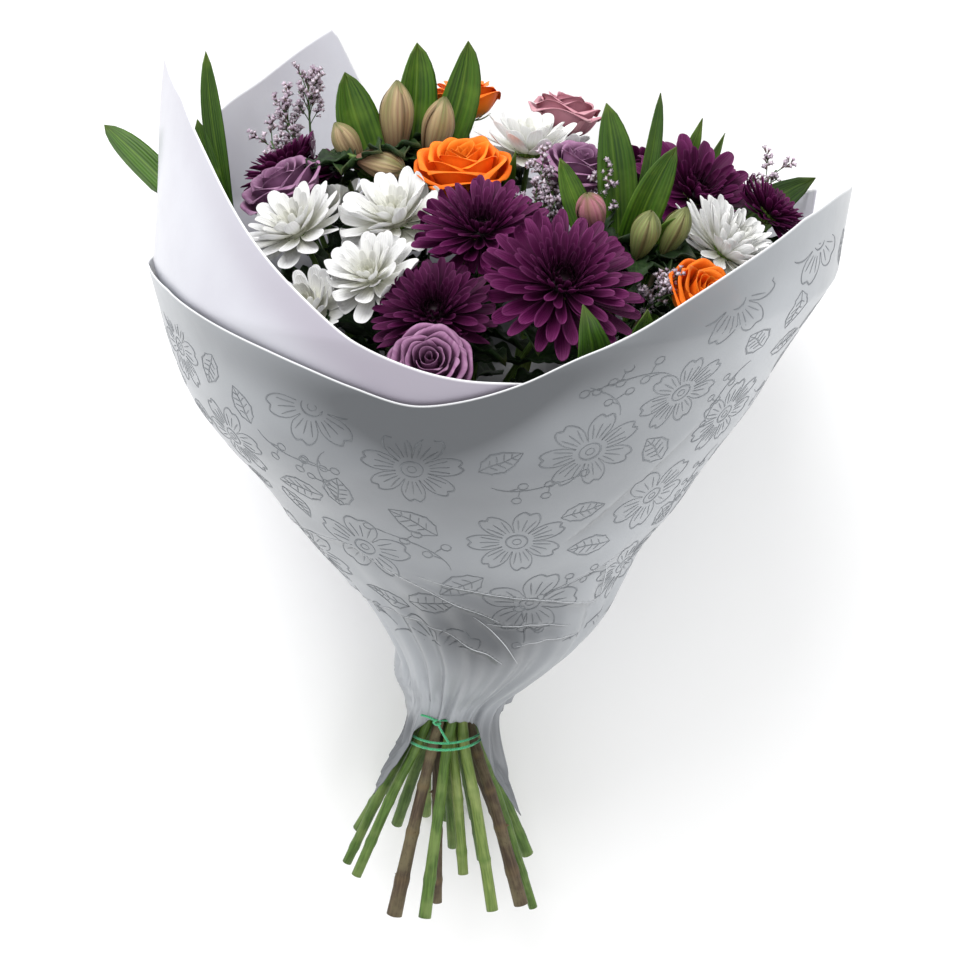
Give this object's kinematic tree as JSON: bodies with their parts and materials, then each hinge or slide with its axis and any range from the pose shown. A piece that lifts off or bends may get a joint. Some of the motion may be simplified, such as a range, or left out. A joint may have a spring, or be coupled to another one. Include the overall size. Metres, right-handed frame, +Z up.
{
  "type": "mixed flower bouquet",
  "caption": "Hand-tied bouquet of chrysanthemums, roses, alstroemeria and limonium in a frosted film wrapper, its stems bound with twine, lying on its back.",
  "frame": {"origin": "on the surface that the bouquet lies on, under the middle of its outline", "axes": "+Z up; +Y along the surface from the cut stems towards the heads; +X to the right, seen from above with the stems nearest"},
  "size_m": [0.386, 0.4996, 0.3244],
  "materials": {
    "purple_petals": "soft matte petals, violet purple",
    "white_petals": "soft matte petals, white with a hint of green at the heart",
    "orange_petals": "velvety petals, bright orange",
    "mauve_petals": "velvety petals, dusty mauve",
    "pink_petals": "velvety petals, dusty pink",
    "lily_petals": "satin tepals, cream with pink and green streaks",
    "green_stems": "living green stems and leaves, satin",
    "brown_stems": "grey brown woody stems, matte",
    "florets": "dry pale lilac florets on thin green twigs",
    "twine": "soft green twisted twine",
    "grey_film": "silver grey frosted film with a fine line print",
    "white_film": "white frosted film"
  },
  "bodies": {
    "root": {"purple_chrysanthemum_1": "purple_petals", "purple_chrysanthemum_2": "purple_petals", "purple_chrysanthemum_3": "purple_petals", "purple_chrysanthemum_4": "purple_petals", "purple_chrysanthemum_5": "purple_petals", "purple_chrysanthemum_6": "purple_petals", "purple_chrysanthemum_7": "purple_petals", "purple_chrysanthemum_8": "purple_petals", "white_chrysanthemum_1": "white_petals", "white_chrysanthemum_2": "white_petals", "white_chrysanthemum_3": "white_petals", "white_chrysanthemum_4": "white_petals", "white_chrysanthemum_5": "white_petals", "white_chrysanthemum_6": "white_petals", "white_chrysanthemum_7": "white_petals", "white_chrysanthemum_8": "white_petals", "orange_rose_1": "orange_petals", "orange_rose_2": "orange_petals", "orange_rose_3": "orange_petals", "mauve_rose_1": "mauve_petals", "mauve_rose_2": "mauve_petals", "mauve_rose_3": "mauve_petals", "pink_rose_1": "pink_petals", "alstroemeria_bud_1": "lily_petals", "alstroemeria_bud_2": "lily_petals", "alstroemeria_bud_3": "lily_petals", "alstroemeria_bud_4": "lily_petals", "alstroemeria_bud_5": "lily_petals", "alstroemeria_bud_6": "lily_petals", "alstroemeria_bud_7": "lily_petals", "purple_spray_stem_1": "green_stems", "purple_spray_stem_2": "green_stems", "purple_spray_stem_3": "green_stems", "white_spray_stem_1": "green_stems", "white_spray_stem_2": "green_stems", "white_spray_stem_3": "green_stems", "white_spray_stem_4": "green_stems", "orange_rose_stem_1": "brown_stems", "orange_rose_stem_2": "brown_stems", "orange_rose_stem_3": "brown_stems", "mauve_rose_stem_1": "green_stems", "mauve_rose_stem_2": "brown_stems", "mauve_rose_stem_3": "green_stems", "pink_rose_stem": "green_stems", "alstroemeria_stem_1": "green_stems", "alstroemeria_stem_2": "green_stems", "alstroemeria_stem_3": "green_stems", "limonium_spray_1": "florets", "limonium_spray_2": "florets", "twine_tie": "twine", "outer_film_sheet": "grey_film", "inner_film_sheet": "white_film"}
  },
  "joints": []
}
